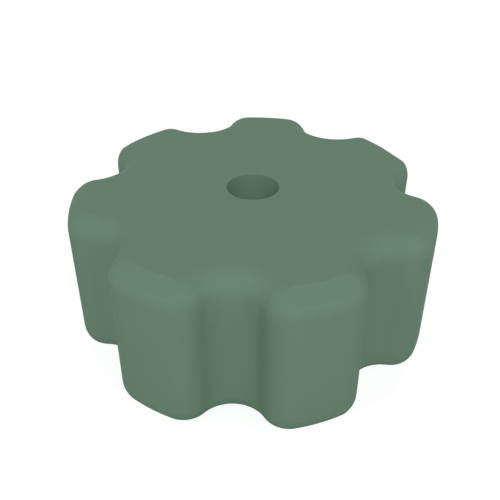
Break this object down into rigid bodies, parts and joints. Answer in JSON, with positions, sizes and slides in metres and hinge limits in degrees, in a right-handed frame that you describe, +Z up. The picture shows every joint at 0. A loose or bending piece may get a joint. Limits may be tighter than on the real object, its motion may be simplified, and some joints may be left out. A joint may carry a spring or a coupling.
{
  "type": "tightening knob",
  "caption": "Lobed plastic hand knob with rounded flutes, chamfered crests, a plain centre bore for a stud and a hexagon socket for its nut in the base.",
  "frame": {"origin": "on the bore's axis, in the plane of the base, at the middle of the nut socket's mouth", "axes": "+Z up along the bore towards the top face, +X through the crest of one lobe"},
  "size_m": [0.044, 0.0448, 0.019],
  "materials": {
    "grip": "matte moulded, sage green"
  },
  "bodies": {
    "root": {"knob": "grip"}
  },
  "joints": []
}
